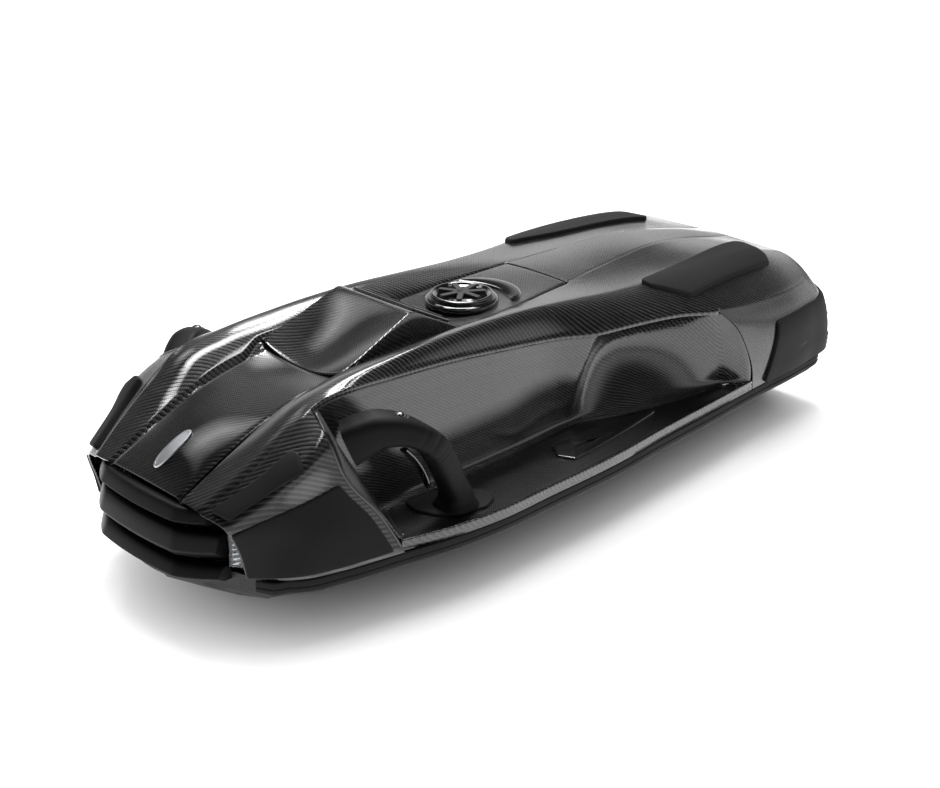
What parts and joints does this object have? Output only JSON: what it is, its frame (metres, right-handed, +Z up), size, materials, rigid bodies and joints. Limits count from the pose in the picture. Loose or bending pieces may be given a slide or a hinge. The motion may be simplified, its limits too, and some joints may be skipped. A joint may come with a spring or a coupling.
{
  "type": "underwater scooter",
  "caption": "Prone-ride underwater scooter: carbon hull with open arm recesses, looped hand grips, display cowl, capped charging port, keel jet drive.",
  "frame": {"origin": "on the ground, under the middle of the bounding box", "axes": "+Z up; +Y from nose to tail; +X to the rider's left, square to the plane of symmetry"},
  "size_m": [0.5124, 1.1403, 0.317],
  "materials": {
    "carbon_gloss": "carbon twill under a glossy clear coat",
    "rubber_black": "matt moulded rubber",
    "plastic_black": "satin moulded plastic",
    "gloss_black": "polished",
    "bright_trim": "bright",
    "anodised_aluminium": "anodised",
    "stainless_steel": "ground",
    "lamp_lens": "clear",
    "battery_case": "moulded",
    "display_glass": "dark, polished"
  },
  "bodies": {
    "hull": {"battery_pack": "battery_case", "battery_strap": "rubber_black", "charge_socket": "plastic_black", "crescent_trim": "bright_trim", "deck_panel": "carbon_gloss", "display_bezel": "gloss_black", "display_cowl": "carbon_gloss", "display_glass": "display_glass", "floor_trim_L": "gloss_black", "floor_trim_R": "gloss_black", "grille_blade_lower": "plastic_black", "grille_blade_upper": "plastic_black", "grille_mesh": "plastic_black", "grip_base_L": "rubber_black", "grip_base_R": "rubber_black", "hand_grip_L": "rubber_black", "hand_grip_R": "rubber_black", "headlamp_housing_L": "bright_trim", "headlamp_housing_R": "bright_trim", "headlamp_lens_L": "lamp_lens", "headlamp_lens_R": "lamp_lens", "hood_badge": "bright_trim", "hood_panel": "carbon_gloss", "hull_lower": "plastic_black", "intake_grille": "plastic_black", "jet_duct": "plastic_black", "jet_nozzle": "plastic_black", "keel_skid_L": "rubber_black", "keel_skid_R": "rubber_black", "motor_controller": "anodised_aluminium", "motor_housing": "anodised_aluminium", "motor_mount": "plastic_black", "nose_bumper_L": "rubber_black", "nose_bumper_R": "rubber_black", "nose_frame": "plastic_black", "nose_lip": "plastic_black", "port_collar": "gloss_black", "pump_housing": "anodised_aluminium", "rear_bumper_L": "rubber_black", "rear_bumper_R": "rubber_black", "rear_pad_L": "rubber_black", "rear_pad_R": "rubber_black", "recess_liner_L": "carbon_gloss", "recess_liner_R": "carbon_gloss", "rub_rail_L": "rubber_black", "rub_rail_R": "rubber_black", "shaft_seal": "rubber_black", "side_pad_L": "rubber_black", "side_pad_R": "rubber_black", "stator_vanes": "anodised_aluminium", "top_shell": "carbon_gloss"},
    "rotor": {"impeller": "anodised_aluminium", "drive_shaft": "stainless_steel"},
    "port_lid": {"port_cap": "plastic_black", "cap_seal": "rubber_black"},
    "lid_knob": {"cap_knob": "gloss_black"},
    "trigger_left": {"trigger_L": "gloss_black"},
    "trigger_right": {"trigger_R": "gloss_black"},
    "button_left": {"thumb_button_L": "gloss_black"},
    "button_right": {"thumb_button_R": "gloss_black"}
  },
  "joints": [
    {"name": "rotor_spin", "type": "hinge", "parent": "hull", "child": "rotor", "pos_m": [0, 0.365, 0.056], "axis": [0, 1, 0], "continuous": true},
    {"name": "lid_lift", "type": "slide", "parent": "hull", "child": "port_lid", "axis": [0, 0, 1], "range_m": [0, 0.05]},
    {"name": "knob_turn", "type": "hinge", "parent": "port_lid", "child": "lid_knob", "pos_m": [0, -0.023, 0.28], "axis": [0, 0, 1], "range_deg": [0, 90]},
    {"name": "trigger_left_pull", "type": "hinge", "parent": "hull", "child": "trigger_left", "pos_m": [0.196, -0.313, 0.212], "axis": [1, 0, 0], "range_deg": [0, 5], "stiffness_Nm_per_rad": 0.8, "springref_deg": -2.86},
    {"name": "trigger_right_pull", "type": "hinge", "parent": "hull", "child": "trigger_right", "pos_m": [-0.196, -0.313, 0.212], "axis": [1, 0, 0], "range_deg": [0, 5], "stiffness_Nm_per_rad": 0.8, "springref_deg": -2.86},
    {"name": "button_left_press", "type": "slide", "parent": "hull", "child": "button_left", "axis": [0, 0, -1], "range_m": [0, 0.0025], "stiffness_N_per_m": 300, "springref_m": -0.002},
    {"name": "button_right_press", "type": "slide", "parent": "hull", "child": "button_right", "axis": [0, 0, -1], "range_m": [0, 0.0025], "stiffness_N_per_m": 300, "springref_m": -0.002}
  ]
}
